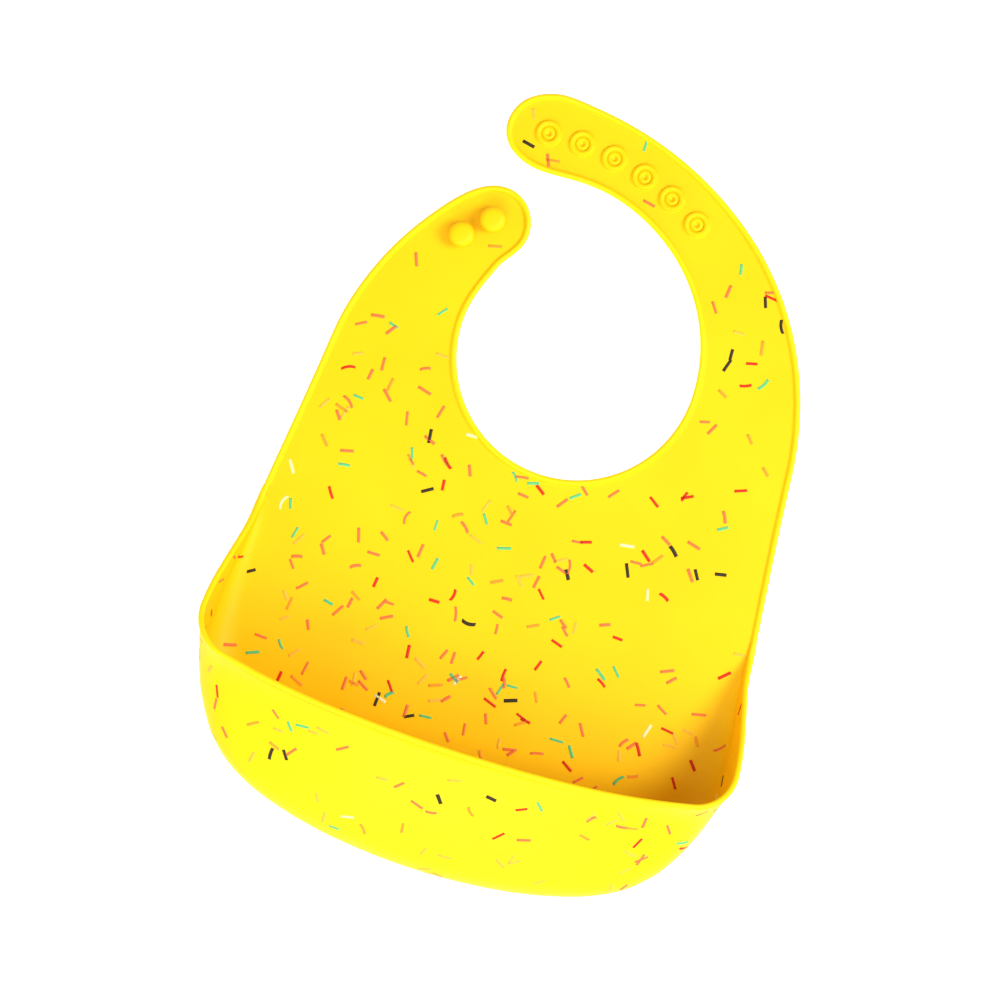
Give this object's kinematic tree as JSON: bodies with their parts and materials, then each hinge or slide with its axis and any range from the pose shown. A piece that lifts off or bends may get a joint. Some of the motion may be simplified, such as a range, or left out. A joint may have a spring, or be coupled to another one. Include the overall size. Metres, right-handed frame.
{
  "type": "silicone bib",
  "caption": "Moulded silicone baby bib with an open food-catching pocket, a raised edge bead and neck straps closed by studs in a row of sockets.",
  "frame": {"origin": "middle of the bib's outline, on the plane its back rests on", "axes": "+Y from the pocket to the neck straps, +Z out of the front face, +X to the viewer's right as seen from the front"},
  "size_m": [0.2186, 0.3107, 0.0473],
  "materials": {
    "sheet_silicone": "satin, moulded in yellow with scattered coloured chips",
    "edge_silicone": "satin",
    "pocket_silicone": "satin, moulded in yellow with scattered coloured chips",
    "fastener_silicone": "satin"
  },
  "bodies": {
    "lower_panel": {"lower_sheet": "sheet_silicone", "left_side_wall": "pocket_silicone", "right_side_wall": "pocket_silicone", "pocket_floor_roll": "pocket_silicone", "left_rim_bead": "edge_silicone", "right_rim_bead": "edge_silicone", "chest_fold_strip": "sheet_silicone"},
    "catcher": {"pocket_front": "pocket_silicone", "front_rim_bead": "edge_silicone"},
    "upper_panel": {"chest_sheet": "sheet_silicone", "chest_left_edge_bead": "edge_silicone", "chest_right_edge_bead": "edge_silicone", "chest_neck_bead": "edge_silicone", "short_strap_root_strip": "sheet_silicone", "long_strap_root_strip": "sheet_silicone"},
    "short_strap": {"short_strap_sheet": "sheet_silicone", "short_strap_edge_bead": "edge_silicone", "stud_post_1": "fastener_silicone", "stud_head_1": "fastener_silicone", "stud_post_2": "fastener_silicone", "stud_head_2": "fastener_silicone"},
    "long_strap": {"long_strap_sheet": "sheet_silicone", "long_strap_outer_edge_bead": "edge_silicone", "long_strap_neck_bead": "edge_silicone", "long_strap_curl_strip": "sheet_silicone"},
    "long_strap_tip": {"long_strap_tip_sheet": "sheet_silicone", "long_strap_tip_edge_bead": "edge_silicone", "socket_1": "fastener_silicone", "socket_2": "fastener_silicone", "socket_3": "fastener_silicone", "socket_4": "fastener_silicone", "socket_5": "fastener_silicone", "socket_6": "fastener_silicone"}
  },
  "joints": [
    {"name": "chest_fold", "type": "hinge", "parent": "lower_panel", "child": "upper_panel", "pos_m": [0, -0.0155, 0.0007], "axis": [1, 0, 0], "range_deg": [-90, 75], "stiffness_Nm_per_rad": 0.02, "deforming": ["chest_fold_strip"]},
    {"name": "pocket_press", "type": "hinge", "parent": "lower_panel", "child": "catcher", "pos_m": [0, -0.1465, 0.012], "axis": [1, 0, 0], "range_deg": [-18, 18], "stiffness_Nm_per_rad": 0.05, "deforming": ["pocket_floor_roll", "left_side_wall", "right_side_wall", "left_rim_bead", "right_rim_bead"]},
    {"name": "short_strap_bend", "type": "hinge", "parent": "upper_panel", "child": "short_strap", "pos_m": [-0.07, 0.0565, 0.0007], "axis": [1, 0, 0], "range_deg": [-75, 75], "stiffness_Nm_per_rad": 0.01, "deforming": ["short_strap_root_strip"]},
    {"name": "long_strap_bend", "type": "hinge", "parent": "upper_panel", "child": "long_strap", "pos_m": [0.07, 0.0565, 0.0007], "axis": [1, 0, 0], "range_deg": [-75, 75], "stiffness_Nm_per_rad": 0.02, "deforming": ["long_strap_root_strip"]},
    {"name": "long_strap_curl", "type": "hinge", "parent": "long_strap", "child": "long_strap_tip", "pos_m": [0.049, 0.1075, 0.0007], "axis": [0.7071, 0.7071, 0], "range_deg": [-45, 45], "stiffness_Nm_per_rad": 0.01, "deforming": ["long_strap_curl_strip"]}
  ]
}
